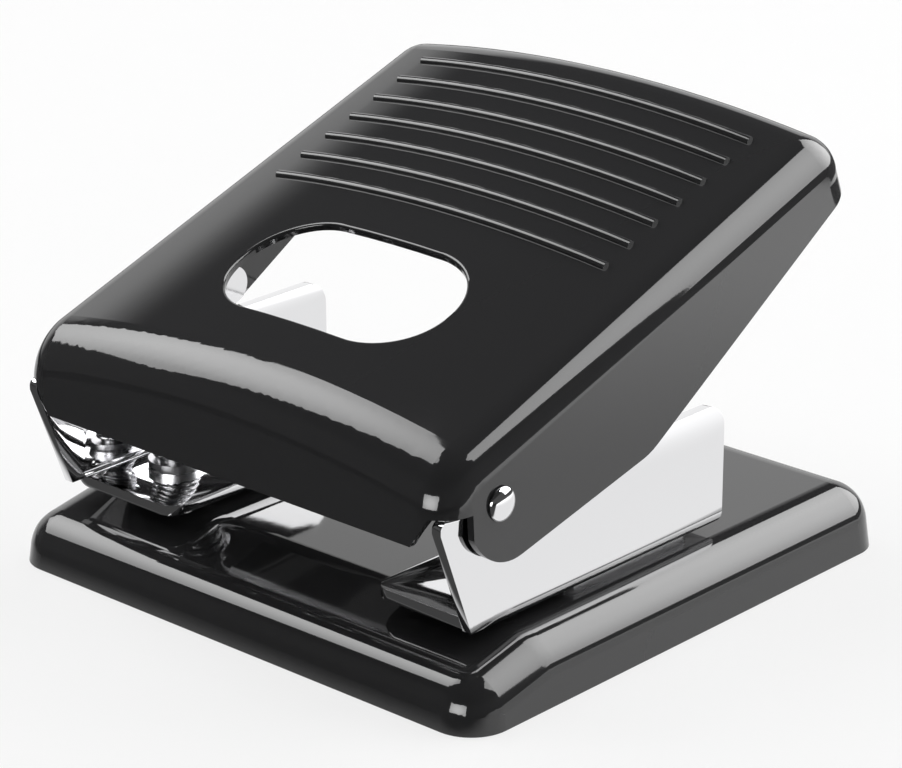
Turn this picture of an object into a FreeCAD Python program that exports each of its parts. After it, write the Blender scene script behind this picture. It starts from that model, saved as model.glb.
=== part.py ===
import FreeCAD, Part
import math
import os
import Sketcher

# Two-hole lever punch: a pressed steel handle pivots on two bent brackets and a cross
# bar pushes two spring-lifted punches through the paper slot into dies in the base.
# Millimetres, X to the right, Y to the back, Z up from the desk.

Vector = FreeCAD.Vector
doc = FreeCAD.newDocument("hole_punch")
sheet = doc.addObject("Spreadsheet::Sheet", "sizes")
rows = []


def size(alias, text):
    rows.append(alias)
    cell = "A" + str(len(rows))
    sheet.set(cell, text)
    sheet.setAlias(cell, alias)


driving = {
    # across the punch: standard hole spacing, then out to the walls and the base's edge
    "hole_spacing": 80,
    "punch_to_wall": 10.6,
    "base_ledge": 7.45,
    # base: drawn steel shell, side walls, shoulder, paper shelf and front apron
    "base_front": -58.65,
    "base_rear": 57.6,
    "base_top": 12.6,
    "base_skin": 1.2,
    "base_round": 7.8,
    "base_draft": 5.7,
    "base_lift": 0.2,
    "apron_length": 19.35,
    "apron_drop": 3.9,
    "apron_blend": 18,
    # chip tray: plastic tray that closes the base from below
    "tray_gap": 0.5,
    "tray_draft": 15,
    "tray_height": 5.4,
    "tray_floor": 1,
    "tray_wall": 2.6,
    "grip_width": 26,
    # punches and dies
    "punch_behind_front": 25.65,
    "punch_dia": 6,
    "punch_fit": 0.05,
    "punch_tip": 14.6,
    "die_length": 34,
    "die_width": 22,
    "die_lead": 4.4,
    "die_thick": 3,
    "die_clear_hole": 7.2,
    # brackets: bent sheet with a wall outside and a flange turned inward
    "sheet_thick": 2,
    "paper_gap": 1.7,
    "bend_inner": 1,
    "flange_reach": 25.6,
    "flange_front": -48.3,
    "flange_corner": 3.5,
    "bracket_rear": 16.4,
    "bracket_rise": 38.4,
    "bracket_corner": 5,
    "wall_foot": 15.8,
    "wall_foot_front": -51.2,
    "prong_front": -58.8,
    "prong_shoulder": 35.9,
    "prong_top": 38,
    "prong_back": -56,
    "prong_round": 1.4,
    "lug_reach": 6.6,
    "lug_slope_end": -34,
    # spacers under the flanges; their front edges are the paper stops
    "stop_depth": 12,
    "spacer_length": 34,
    "spacer_inset": 4.6,
    "spacer_width": 18,
    # pivot
    "pivot_back": -46.2,
    "pivot_rise": 38.5,
    "pivot_dia": 5,
    "pivot_fit": 0.05,
    "pivot_head_dia": 7.2,
    "pivot_head_rise": 1.7,
    "pivot_tail_dia": 7.6,
    "pivot_tail_thick": 1.3,
    "washer_dia": 9,
    "washer_slack": 0.05,
    "washer_thick": 0.25,
    # handle: drawn steel, crowned top, window, ribs and two pivot lobes
    "handle_skin": 1.4,
    "side_gap": 0.6,
    "side_draft": 3.2,
    "incline": 18.92,
    "reference_back": -4.61,
    "reference_rise": 66.55,
    "crown_radius": 270,
    "crown_rise": 2.96,
    "handle_depth": 34,
    "handle_rear": 54,
    "handle_run": 126,
    "panel_front": -59.9,
    "panel_foot": 32.7,
    "front_round": 12,
    "rear_round": 7.5,
    "side_round": 7,
    "notch_rise": 38.4,
    "notch_inner": 44.6,
    "notch_gap": 0.3,
    "notch_depth": 8,
    "lobe_back": -43.9,
    "lobe_rise": 37.55,
    "lobe_radius": 9.75,
    "skirt_slope": 13.74,
    "skirt_turn_back": -7.9,
    "skirt_rear_slope": 31.3,
    "skirt_turn_round": 14,
    "skirt_side_start": -57.5,
    "window_width": 49.4,
    "window_length": 26.8,
    "window_centre": -24.8,
    "window_corner": 12.9,
    "window_rim": 0.5,
    "rib_radius": 0.95,
    "rib_sink": 0.15,
    "rib_pitch": 7.05,
    "rib_count": 7,
    "rib_sweep": 17,
    # press yoke and bar
    "yoke_gap": 0.3,
    "yoke_sheet": 1.6,
    "yoke_skin_gap": 0.05,
    "yoke_corner": 4.2,
    "yoke_front": -49.5,
    "yoke_length": 8.5,
    "yoke_drop": 16,
    "yoke_boss": 6.4,
    "yoke_end_behind": 22.4,
    "yoke_end_above": 3.45,
    "yoke_end_radius": 3.7,
    "bar_dia": 7,
    "bar_rise": 40.95,
    "bar_stub_dia": 5,
    # guide bush, cap and spring round each punch
    "bush_body_dia": 8,
    "bush_collar_dia": 10.4,
    "bush_collar_thick": 1.6,
    "cap_dia": 10.2,
    "cap_gap": 0.05,
    "cap_neck": 4,
    "cap_seat": 6.2,
    "cap_neck_dia": 7,
    "spring_dia": 8.6,
    "spring_wire": 1,
    "spring_turns": 6.5,
    "spring_seat_gap": 0.02,
    "spigot_dia": 4,
    "spigot_slack": 0.8,
    "tip_hollow": 1.2,
    "press_clear": 0.02,
    "centre_line": 0,
    # rivets holding each flange, spacer and base together
    "rivet_dia": 4,
    "rivet_head_dia": 7,
    "rivet_head_rise": 1.7,
    "rivet_inset": 13.6,
    "rivet_front_back": -13,
    "rivet_rear_back": 8,
    "rivet_tail_dia": 6.4,
    "rivet_tail_thick": 1,
    # how far cutting tools and guide lines run past what they cut
    "window_cut": 20,
    "axle_half": 10,
    "sheet_below": -7,
}
for alias, number in driving.items():
    size(alias, str(number))

# sizes that follow from the ones above
size("punch_side", "=hole_spacing / 2")
size("wall_outer", "=punch_side + punch_to_wall")
size("base_half", "=wall_outer + base_ledge")
size("base_ceiling", "=base_top - base_skin")
size("apron_start", "=base_front + apron_length")
size("apron_lip", "=base_top - apron_drop")
size("punch_back", "=base_front + punch_behind_front")
size("punch_radius", "=punch_dia / 2")
size("bore_radius", "=punch_dia / 2 + punch_fit")
size("wall_inner", "=wall_outer - sheet_thick")
size("flange_low", "=base_top + paper_gap")
size("flange_high", "=flange_low + sheet_thick")
size("flange_tip", "=wall_outer - flange_reach")
size("bend_outer", "=bend_inner + sheet_thick")
size("bend_centre", "=wall_outer - bend_outer")
size("bend_rise", "=flange_low + bend_outer")
size("stop_back", "=punch_back + stop_depth")
size("lobe_inner_face", "=wall_outer + side_gap")
size("handle_half", "=lobe_inner_face + handle_skin")
size("pivot_across", "=(pivot_back - reference_back) * sin(incline)")
size("pivot_lean", "=(pivot_rise - reference_rise) * cos(incline) - pivot_across")
size("rim_lean", "=crown_rise - handle_half ^ 2 / (2 * crown_radius)")
size("rim_half", "=handle_half - (rim_lean - pivot_lean) * tan(side_draft)")
size("skirt_half", "=handle_half + (pivot_lean + handle_depth) * tan(side_draft)")
size("crown_centre", "=crown_rise - crown_radius")
size("lug_front", "=pivot_back - lug_reach")
size("lug_top", "=pivot_rise + lug_reach")
size("lug_back", "=pivot_back + lug_reach")
size("lug_half", "=lug_reach * 0.42")
size("yoke_outer", "=wall_inner - yoke_gap")
size("yoke_inner", "=yoke_outer - yoke_sheet")
size("yoke_arc", "=crown_radius - handle_skin - yoke_skin_gap")
size("yoke_under_arc", "=yoke_arc - yoke_sheet")
size("rivet_side", "=wall_outer - rivet_inset")
size("bush_top", "=flange_high + bush_collar_thick")
size("spring_foot", "=bush_top + spring_seat_gap")
size("cap_top", "=bar_rise - bar_dia / 2 - cap_gap")
size("cap_shoulder", "=cap_top - cap_neck")
size("cap_ceiling", "=cap_top - cap_seat")
size("punch_top", "=cap_shoulder")
size("spigot_top", "=punch_top + spigot_slack")
size("spring_head", "=cap_ceiling - spring_seat_gap")
size("washer_inner_face", "=wall_outer + washer_slack")
doc.recompute()


def value(name):
    if name.startswith("-"):
        return -float(sheet.get(name[1:]))
    return float(sheet.get(name))


def link(name):
    if name.startswith("-"):
        return "-sizes." + name[1:]
    return "sizes." + name


def bind(thing, field, name):
    thing.setExpression(field, link(name))


def body(name):
    made = doc.addObject("PartDesign::Body", name)
    made.Label = name
    return made


def plane_of(owner, role):
    return next(part for part in owner.Origin.OriginFeatures if part.Role == role)


def sketch(owner, name, role, shift=None, tilt=None, spin=False):
    """Sketch on an origin plane, shifted by named sizes and turned by a named angle."""
    made = owner.newObject("Sketcher::SketchObject", name)
    made.AttachmentSupport = (plane_of(owner, role), [""])
    made.MapMode = "FlatFace"
    for axis, amount in zip("xyz", shift or (None, None, None)):
        if amount:
            bind(made, "AttachmentOffset.Base." + axis, amount)
    if tilt:
        about = Vector(0, 0, 1) if spin else Vector(1, 0, 0)
        made.AttachmentOffset = FreeCAD.Placement(Vector(), about, value(tilt))
        bind(made, "AttachmentOffset.Rotation.Angle", tilt)
    doc.recompute()
    return made


def hold(made, kind, *where, to=None):
    """Adds one constraint; a size name given as to drives its value."""
    if to is None:
        return made.addConstraint(Sketcher.Constraint(kind, *where))
    index = made.addConstraint(Sketcher.Constraint(kind, *where, value(to)))
    bind(made, "Constraints[" + str(index) + "]", to)
    return index


def pin(made, geometry, point, across, up):
    """Ties one point of a sketch to a pair of named coordinates."""
    hold(made, "DistanceX", -1, 1, geometry, point, to=across)
    hold(made, "DistanceY", -1, 1, geometry, point, to=up)


def polygon(made, corners):
    """Closed outline through corners given as pairs of size names."""
    places = [Vector(value(across), value(up), 0) for across, up in corners]
    first = made.GeometryCount
    for index, place in enumerate(places):
        after = places[(index + 1) % len(places)]
        made.addGeometry(Part.LineSegment(place, after), False)
    for index, corner in enumerate(corners):
        before = first + (index - 1) % len(corners)
        hold(made, "Coincident", before, 2, first + index, 1)
        pin(made, first + index, 1, *corner)


def circle(made, across, up, radius=None, diameter=None):
    reach = value(radius) if radius else value(diameter) / 2
    centre = Vector(value(across), value(up), 0)
    index = made.addGeometry(Part.Circle(centre, Vector(0, 0, 1), reach), False)
    pin(made, index, 3, across, up)
    if radius:
        hold(made, "Radius", index, to=radius)
    else:
        hold(made, "Diameter", index, to=diameter)


def rounded_box(made, left, right, low, high, corner):
    """Rectangle between named sides with one corner radius."""
    west, east, south, north, turn = [value(one) for one in (left, right, low, high, corner)]
    quarter = math.pi / 2
    hubs = [(east - turn, north - turn), (west + turn, north - turn)]
    hubs += [(west + turn, south + turn), (east - turn, south + turn)]
    first = made.GeometryCount
    for index, hub in enumerate(hubs):
        ring = Part.Circle(Vector(hub[0], hub[1], 0), Vector(0, 0, 1), turn)
        made.addGeometry(Part.ArcOfCircle(ring, index * quarter, (index + 1) * quarter), False)
    arcs = [first + index for index in range(len(hubs))]
    for index, arc in enumerate(arcs):
        here = made.Geometry[arc].EndPoint
        there = made.Geometry[arcs[(index + 1) % len(arcs)]].StartPoint
        edge = made.addGeometry(Part.LineSegment(here, there), False)
        hold(made, "Tangent", arc, 2, edge, 1)
        hold(made, "Tangent", edge, 2, arcs[(index + 1) % len(arcs)], 1)
        hold(made, "Horizontal" if index % 2 == 0 else "Vertical", edge)
        if index:
            hold(made, "Equal", arcs[0], arc)
    hold(made, "Radius", arcs[0], to=corner)
    hold(made, "DistanceX", -1, 1, arcs[0], 1, to=right)
    hold(made, "DistanceY", -1, 1, arcs[0], 2, to=high)
    hold(made, "DistanceX", -1, 1, arcs[2], 1, to=left)
    hold(made, "DistanceY", -1, 1, arcs[2], 2, to=low)


def pad(owner, name, profile, length, midplane=False, reverse=False):
    made = owner.newObject("PartDesign::Pad", name)
    made.Profile = profile
    bind(made, "Length", length)
    made.Midplane = midplane
    made.Reversed = reverse
    doc.recompute()
    return made


def pocket(owner, name, profile, length=None, midplane=False, reverse=False):
    made = owner.newObject("PartDesign::Pocket", name)
    made.Profile = profile
    made.Midplane = midplane
    made.Reversed = reverse
    if length:
        bind(made, "Length", length)
    else:
        made.Type = "ThroughAll"
    doc.recompute()
    return made


def edges_where(feature, test):
    """Names of the edges of a feature for which test(edge) holds."""
    found = enumerate(feature.Shape.Edges, 1)
    return ["Edge" + str(index) for index, edge in found if test(edge)]


def fillet(owner, name, feature, radius, test):
    made = owner.newObject("PartDesign::Fillet", name)
    made.Base = (feature, edges_where(feature, test))
    bind(made, "Radius", radius)
    doc.recompute()
    return made


def near(first, second, slack=0.02):
    return abs(first - second) < slack


def spans(edge):
    box = edge.BoundBox
    return box.XLength, box.YLength, box.ZLength


def middle(edge):
    return edge.BoundBox.Center


def across_at(edge, back, rise, slack=0.3):
    """True for a straight edge along X at the given Y and Z."""
    spot = middle(edge)
    width, depth, height = spans(edge)
    level = near(depth, 0) and near(height, 0)
    return level and near(spot.y, back, slack) and near(spot.z, rise, slack)


# base shell: a pressed form, hollowed by a smaller form of the same kind
size("base_wall_rise", "=base_top - base_lift")
size("base_taper", "=-base_draft")
size("beyond_front", "=base_front - 20")
size("over_top", "=base_top + 20")
size("apron_far_lip", "=apron_lip - apron_drop / apron_length * 20")
size("base_inner_round", "=base_round - base_skin")
size("core_half", "=base_half - base_skin")
size("core_front", "=base_front + base_skin")
size("core_rear", "=base_rear - base_skin")
size("core_rise", "=base_ceiling - base_lift")
size("core_far_lip", "=apron_far_lip - base_skin")
size("core_blend", "=apron_blend - base_skin")
doc.recompute()


def pressed_form(name, half, front, rear, rise, top, far_lip, blend, rounding):
    """Drafted block with a front apron, rounded at its corners and along its top."""
    made = body(name)
    plan = sketch(made, name + "_plan", "XY_Plane", (None, None, "base_lift"))
    polygon(plan, [("-" + half, front), (half, front), (half, rear), ("-" + half, rear)])
    block = pad(made, name + "_block", plan, rise)
    bind(block, "TaperAngle", "base_taper")
    doc.recompute()
    slope = sketch(made, name + "_apron_side", "YZ_Plane")
    polygon(slope, [("apron_start", top), ("beyond_front", far_lip),
                    ("beyond_front", "over_top"), ("apron_start", "over_top")])
    apron = pocket(made, name + "_apron", slope, midplane=True)
    crease = fillet(made, name + "_crease", apron, blend,
                    lambda edge: across_at(edge, value("apron_start"), value(top)))
    rim_low = value(top) - value("apron_drop") - 1

    def outside(edge):
        wide = spans(edge)[0] > value(half)
        crossing = wide and abs(middle(edge).y - value("apron_start")) < value("apron_length") / 2
        upright = spans(edge)[2] > rim_low - 1
        return upright or (edge.BoundBox.ZMin > rim_low and not crossing)

    fillet(made, name + "_round", crease, rounding, outside)
    return made


base = pressed_form("base_shell", "base_half", "base_front", "base_rear", "base_wall_rise",
                    "base_top", "apron_far_lip", "apron_blend", "base_round")
core = pressed_form("base_core", "core_half", "core_front", "core_rear", "core_rise",
                    "base_ceiling", "core_far_lip", "core_blend", "base_inner_round")
hollow = base.newObject("PartDesign::Boolean", "base_hollow")
hollow.Type = "Cut"
hollow.setObjects([core])
doc.recompute()
holes = sketch(base, "base_holes", "XY_Plane")
circle(holes, "punch_side", "punch_back", diameter="die_clear_hole")
circle(holes, "-punch_side", "punch_back", diameter="die_clear_hole")
for hand in ("", "-"):
    circle(holes, hand + "rivet_side", "rivet_front_back", diameter="rivet_dia")
    circle(holes, hand + "rivet_side", "rivet_rear_back", diameter="rivet_dia")
pocket(base, "base_drilled", holes, midplane=True)

# chip tray
tray = body("chip_tray")
size("tray_half", "=base_half - base_skin - tray_gap")
size("tray_front", "=base_front + base_skin + tray_gap")
size("tray_rear", "=base_rear - base_skin - tray_gap")
size("tray_corner", "=base_round - base_skin - tray_gap")
size("tray_taper", "=-tray_draft")
size("well_half", "=tray_half - tray_wall")
size("well_front", "=tray_front + tray_wall")
size("well_rear", "=tray_rear - tray_wall")
size("well_corner", "=tray_corner - tray_wall")
size("well_depth", "=tray_height - tray_floor")
size("grip_half", "=grip_width / 2")
size("grip_floor", "=tray_floor + 1.2")
size("tray_above", "=tray_height + 1")
doc.recompute()
plan = sketch(tray, "tray_plan", "XY_Plane")
rounded_box(plan, "-tray_half", "tray_half", "tray_front", "tray_rear", "tray_corner")
slab = pad(tray, "tray_slab", plan, "tray_height")
bind(slab, "TaperAngle", "tray_taper")
well = sketch(tray, "tray_well_plan", "XY_Plane", (None, None, "tray_height"))
rounded_box(well, "-well_half", "well_half", "well_front", "well_rear", "well_corner")
pocket(tray, "tray_well", well, "well_depth")
notch = sketch(tray, "tray_grip_front", "XZ_Plane")
polygon(notch, [("-grip_half", "grip_floor"), ("grip_half", "grip_floor"),
                ("grip_half", "tray_above"), ("-grip_half", "tray_above")])
pocket(tray, "tray_grips", notch, midplane=True)

# dies, spacers, brackets, bushes, rivets: one of each per side
size("die_front", "=punch_back - die_lead")
size("die_rear", "=die_front + die_length")
size("die_low", "=base_ceiling - die_thick")
size("die_inner", "=punch_side - die_width / 2")
size("die_outer", "=punch_side + die_width / 2")
size("spacer_outer", "=wall_outer - spacer_inset")
size("spacer_inner", "=spacer_outer - spacer_width")
size("spacer_rear", "=stop_back + spacer_length")
size("die_corner", "=sheet_thick")
size("flange_run", "=bracket_rear - flange_front")
size("cheek_low", "=bend_rise + 1")
size("lug_far", "=pivot_back + lug_half")
size("lug_near", "=pivot_back - lug_half")
size("lug_mid", "=pivot_rise + lug_half")
size("eye_radius", "=pivot_dia / 2 + pivot_fit")
size("seat_radius", "=pivot_dia / 2 + press_clear")
doc.recompute()


def handed(side, name):
    """The name of a size mirrored to the left side when side is left."""
    return name if side == "right" else "-" + name


def plate(name, side, inner, outer, front, rear, foot, thick):
    """Flat plate with rounded corners, drilled for the two flange rivets."""
    made = body(name + "_" + side)
    low = inner if side == "right" else "-" + outer
    high = outer if side == "right" else "-" + inner
    plan = sketch(made, name + "_plan_" + side, "XY_Plane", (None, None, foot))
    rounded_box(plan, low, high, front, rear, "die_corner")
    pad(made, name + "_slab_" + side, plan, thick)
    drill = sketch(made, name + "_drill_" + side, "XY_Plane")
    circle(drill, handed(side, "rivet_side"), "rivet_front_back", diameter="rivet_dia")
    return made, drill


for side in ("left", "right"):
    die, drill = plate("die_plate", side, "die_inner", "die_outer", "die_front", "die_rear",
                       "die_low", "die_thick")
    circle(drill, handed(side, "punch_side"), "punch_back", radius="bore_radius")
    pocket(die, "die_holes_" + side, drill, midplane=True)
    spacer, drill = plate("spacer", side, "spacer_inner", "spacer_outer", "stop_back",
                          "spacer_rear", "base_top", "paper_gap")
    circle(drill, handed(side, "rivet_side"), "rivet_rear_back", diameter="rivet_dia")
    pocket(spacer, "spacer_holes_" + side, drill, midplane=True)


def bent_section(made, side):
    """Cross section of wall and flange with a concentric bend."""
    turn = 1 if side == "right" else -1
    hub = Vector(turn * value("bend_centre"), value("bend_rise"), 0)
    tip, outer, inner = value("flange_tip"), value("wall_outer"), value("wall_inner")
    low, high, top = value("flange_low"), value("flange_high"), value("bracket_rise")
    spots = [(tip, low), (value("bend_centre"), low), (outer, value("bend_rise")), (outer, top)]
    spots += [(inner, top), (inner, value("bend_rise")), (value("bend_centre"), high), (tip, high)]
    spots = [Vector(turn * across, up, 0) for across, up in spots]
    start = -math.pi / 2 if side == "right" else math.pi
    straight = ((0, 1), (2, 3), (3, 4), (4, 5), (6, 7), (7, 0))
    lines = [made.addGeometry(Part.LineSegment(spots[a], spots[b]), False) for a, b in straight]
    bends = []
    for radius in ("bend_outer", "bend_inner"):
        ring = Part.Circle(hub, Vector(0, 0, 1), value(radius))
        arc = Part.ArcOfCircle(ring, start, start + math.pi / 2)
        bends.append(made.addGeometry(arc, False))
    begin, finish = (1, 2) if side == "right" else (2, 1)
    hold(made, "Tangent", lines[0], 2, bends[0], begin)
    hold(made, "Tangent", bends[0], finish, lines[1], 1)
    hold(made, "Coincident", lines[1], 2, lines[2], 1)
    hold(made, "Coincident", lines[2], 2, lines[3], 1)
    hold(made, "Tangent", lines[3], 2, bends[1], finish)
    hold(made, "Tangent", bends[1], begin, lines[4], 1)
    hold(made, "Coincident", lines[4], 2, lines[5], 1)
    hold(made, "Coincident", lines[5], 2, lines[0], 1)
    for flat in (lines[0], lines[2], lines[4]):
        hold(made, "Horizontal", flat)
    for upright in (lines[1], lines[3], lines[5]):
        hold(made, "Vertical", upright)
    pin(made, bends[0], 3, handed(side, "bend_centre"), "bend_rise")
    hold(made, "Coincident", bends[0], 3, bends[1], 3)
    hold(made, "Radius", bends[0], to="bend_outer")
    hold(made, "Radius", bends[1], to="bend_inner")
    hold(made, "DistanceX", -1, 1, lines[5], 1, to=handed(side, "flange_tip"))
    hold(made, "DistanceY", -1, 1, lines[2], 1, to="bracket_rise")


def upright_corner(edge, across, back, slack=0.1):
    spot = middle(edge)
    width, depth, height = spans(edge)
    tall = near(width, 0) and near(depth, 0) and height > 1
    return tall and near(spot.x, across, slack) and near(spot.y, back, slack)


for side in ("left", "right"):
    turn = 1 if side == "right" else -1
    bracket = body("bracket_" + side)
    section = sketch(bracket, "bracket_section_" + side, "XZ_Plane", (None, None, "-bracket_rear"))
    bent_section(section, side)
    strip = pad(bracket, "bracket_strip_" + side, section, "flange_run")
    cheek = sketch(bracket, "bracket_cheek_" + side, "YZ_Plane",
                   (None, None, "wall_inner" if side == "right" else "-wall_outer"))
    polygon(cheek, [("wall_foot_front", "wall_foot"), ("flange_front", "wall_foot"),
                    ("lug_slope_end", "cheek_low"), ("lug_slope_end", "bracket_rise"),
                    ("lug_back", "lug_mid"), ("lug_far", "lug_top"),
                    ("lug_near", "lug_top"), ("lug_front", "lug_mid"),
                    ("lug_front", "prong_top"), ("prong_back", "prong_top"),
                    ("prong_front", "prong_top"), ("prong_front", "prong_shoulder")])
    wall = pad(bracket, "bracket_wall_" + side, cheek, "sheet_thick")
    tip = fillet(bracket, "prong_round_" + side, wall, "prong_round",
                 lambda edge: across_at(edge, value("prong_front"), value("prong_top")))
    crown = fillet(bracket, "bracket_rear_round_" + side, tip, "bracket_corner",
                   lambda edge: across_at(edge, value("bracket_rear"), value("bracket_rise")))
    corner = fillet(bracket, "flange_round_" + side, crown, "flange_corner",
                    lambda edge: upright_corner(edge, turn * value("flange_tip"),
                                                value("flange_front"))
                    or upright_corner(edge, turn * value("flange_tip"), value("bracket_rear")))
    drill = sketch(bracket, "flange_drill_" + side, "XY_Plane")
    circle(drill, handed(side, "rivet_side"), "rivet_front_back", diameter="rivet_dia")
    circle(drill, handed(side, "rivet_side"), "rivet_rear_back", diameter="rivet_dia")
    circle(drill, handed(side, "punch_side"), "punch_back", diameter="bush_body_dia")
    pocket(bracket, "flange_holes_" + side, drill, midplane=True)
    eye = sketch(bracket, "pivot_eye_" + side, "YZ_Plane")
    circle(eye, "pivot_back", "pivot_rise", radius="seat_radius")
    pocket(bracket, "pivot_hole_" + side, eye, midplane=True)

# handle, drawn in a frame that leans with its top
size("rear_back", "=reference_back + handle_rear * cos(incline)")
size("rear_rise", "=reference_rise + handle_rear * sin(incline)")
size("far_front", "=panel_front - 40")
size("far_low", "=-handle_depth - 10")
size("far_high", "=reference_rise + 60")
size("far_back", "=rear_back + 30")
size("lobe_start", "=lobe_back - sqrt(lobe_radius ^ 2 - (notch_rise - lobe_rise) ^ 2)")
size("lobe_end_back", "=lobe_back + lobe_radius * sin(skirt_slope)")
size("lobe_end_rise", "=lobe_rise - lobe_radius * cos(skirt_slope)")
size("turn_rise", "=lobe_end_rise + (skirt_turn_back - lobe_end_back) * tan(skirt_slope)")
size("far_back_rise", "=turn_rise + (far_back - skirt_turn_back) * tan(skirt_rear_slope)")
size("notch_plane", "=1 - panel_front")
size("notch_low", "=panel_foot - 5")
size("notch_outer", "=wall_inner - notch_gap")
size("notch_beyond", "=skirt_half + 1")
size("window_half", "=window_width / 2")
size("window_reach", "=window_length / 2")
size("window_plane_back", "=reference_back + window_centre * cos(incline) - 10 * sin(incline)")
size("window_plane_rise", "=reference_rise + window_centre * sin(incline) + 10 * cos(incline)")
size("rib_centre", "=crown_rise - rib_sink")
size("rib_span", "=rib_pitch * (rib_count - 1)")
doc.recompute()


def lean(spot):
    """Distance of a point above the handle's leaning reference plane."""
    angle = math.radians(value("incline"))
    back = spot.y - value("reference_back")
    rise = spot.z - value("reference_rise")
    return rise * math.cos(angle) - back * math.sin(angle)


def along(spot):
    """Distance of a point up the handle's leaning reference plane from the reference line."""
    angle = math.radians(value("incline"))
    back = spot.y - value("reference_back")
    rise = spot.z - value("reference_rise")
    return back * math.cos(angle) + rise * math.sin(angle)


def crowned(made, half, foot_half, foot, radius):
    """Section with a flat foot, straight sides and a crowned top."""
    reach, foot_reach, low, bend = value(half), value(foot_half), value(foot), value(radius)
    hub = Vector(0, value("crown_centre"), 0)
    swing = math.asin(reach / bend)
    ring = Part.Circle(hub, Vector(0, 0, 1), bend)
    arc = Part.ArcOfCircle(ring, math.pi / 2 - swing, math.pi / 2 + swing)
    top = made.addGeometry(arc, False)
    right_end, left_end = made.Geometry[top].StartPoint, made.Geometry[top].EndPoint
    low_left, low_right = Vector(-foot_reach, low, 0), Vector(foot_reach, low, 0)
    left = made.addGeometry(Part.LineSegment(left_end, low_left), False)
    foot_line = made.addGeometry(Part.LineSegment(low_left, low_right), False)
    right = made.addGeometry(Part.LineSegment(low_right, right_end), False)
    hold(made, "Coincident", top, 2, left, 1)
    hold(made, "Coincident", left, 2, foot_line, 1)
    hold(made, "Coincident", foot_line, 2, right, 1)
    hold(made, "Coincident", right, 2, top, 1)
    hold(made, "DistanceX", -1, 1, left, 1, to="-" + half)
    hold(made, "DistanceX", -1, 1, right, 2, to=half)
    pin(made, foot_line, 1, "-" + foot_half, foot)
    pin(made, foot_line, 2, foot_half, foot)
    pin(made, top, 3, "centre_line", "crown_centre")
    hold(made, "Radius", top, to=radius)


handle = body("handle_shell")
profile = sketch(handle, "handle_section", "XZ_Plane", (None, "rear_rise", "-rear_back"), "incline")
size("handle_foot", "=-handle_depth")
doc.recompute()
crowned(profile, "rim_half", "skirt_half", "handle_foot", "crown_radius")
blank = pad(handle, "handle_blank", profile, "handle_run")
face = sketch(handle, "handle_front", "YZ_Plane")
polygon(face, [("panel_front", "far_low"), ("panel_front", "far_high"),
               ("far_front", "far_high"), ("far_front", "far_low")])
front = pocket(handle, "handle_front_cut", face, midplane=True)
nose = fillet(handle, "handle_nose", front, "front_round",
              lambda edge: near(edge.BoundBox.YLength, 0)
              and near(middle(edge).y, value("panel_front"))
              and edge.BoundBox.XLength > value("wall_outer")
              and edge.BoundBox.ZMin > value("panel_foot"))
tail = fillet(handle, "handle_tail", nose, "rear_round",
              lambda edge: edge.BoundBox.XLength > value("wall_outer")
              and middle(edge).y > value("handle_rear") * 0.8
              and lean(middle(edge)) > value("sheet_below"))
rims = fillet(handle, "handle_side_round", tail, "side_round",
              lambda edge: abs(middle(edge).x) > value("wall_outer")
              and edge.BoundBox.XLength < value("side_round")
              and not near(lean(middle(edge)), value("handle_foot"), 0.5))
open_face = [index for index, side_face in enumerate(rims.Shape.Faces, 1)
             if near(lean(side_face.CenterOfMass), value("handle_foot"), 0.05)]
skin = handle.newObject("PartDesign::Thickness", "handle_skin_shell")
skin.Base = (rims, ["Face" + str(index) for index in open_face])
bind(skin, "Value", "handle_skin")
skin.Reversed = True
skin.Mode = 0
skin.Join = 0
doc.recompute()

trim = sketch(handle, "handle_skirt", "YZ_Plane")
lobe_hub = Vector(value("lobe_back"), value("lobe_rise"), 0)
ring = Part.Circle(lobe_hub, Vector(0, 0, 1), value("lobe_radius"))
lobe_end = Vector(value("lobe_end_back"), value("lobe_end_rise"), 0)
lobe_start = Vector(value("lobe_start"), value("notch_rise"), 0)
begin_angle = math.atan2(lobe_start.y - lobe_hub.y, lobe_start.x - lobe_hub.x)
end_angle = math.atan2(lobe_end.y - lobe_hub.y, lobe_end.x - lobe_hub.x) + 2 * math.pi
arc = trim.addGeometry(Part.ArcOfCircle(ring, begin_angle, end_angle), False)
chain = [("lobe_end_back", "lobe_end_rise"), ("skirt_turn_back", "turn_rise"),
         ("far_back", "far_back_rise"), ("far_back", "far_low"), ("far_front", "far_low"),
         ("far_front", "panel_foot"), ("skirt_side_start", "panel_foot"),
         ("skirt_side_start", "notch_rise"), ("lobe_start", "notch_rise")]
spots = [Vector(value(across), value(up), 0) for across, up in chain]
runs = [trim.addGeometry(Part.LineSegment(spots[index], spots[index + 1]), False)
        for index in range(len(spots) - 1)]
for index in range(len(runs) - 1):
    hold(trim, "Coincident", runs[index], 2, runs[index + 1], 1)
    pin(trim, runs[index], 2, *chain[index + 1])
hold(trim, "Tangent", arc, 2, runs[0], 1)
hold(trim, "Coincident", runs[-1], 2, arc, 1)
hold(trim, "Horizontal", runs[-1])
pin(trim, arc, 3, "lobe_back", "lobe_rise")
hold(trim, "Radius", arc, to="lobe_radius")
skirt = pocket(handle, "handle_skirt_cut", trim, midplane=True)
turned_edge = fillet(handle, "handle_skirt_turn", skirt, "skirt_turn_round",
                     lambda edge: across_at(edge, value("skirt_turn_back"), value("turn_rise")))
notches = sketch(handle, "handle_notches", "XZ_Plane", (None, None, "notch_plane"))
for hand in ("", "-"):
    polygon(notches, [(hand + "notch_inner", "notch_low"), (hand + "notch_inner", "panel_foot"),
                      (hand + "notch_outer", "notch_rise"), (hand + "notch_beyond", "notch_rise"),
                      (hand + "notch_beyond", "notch_low")])
pocket(handle, "handle_notch_cut", notches, "notch_depth")
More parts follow.
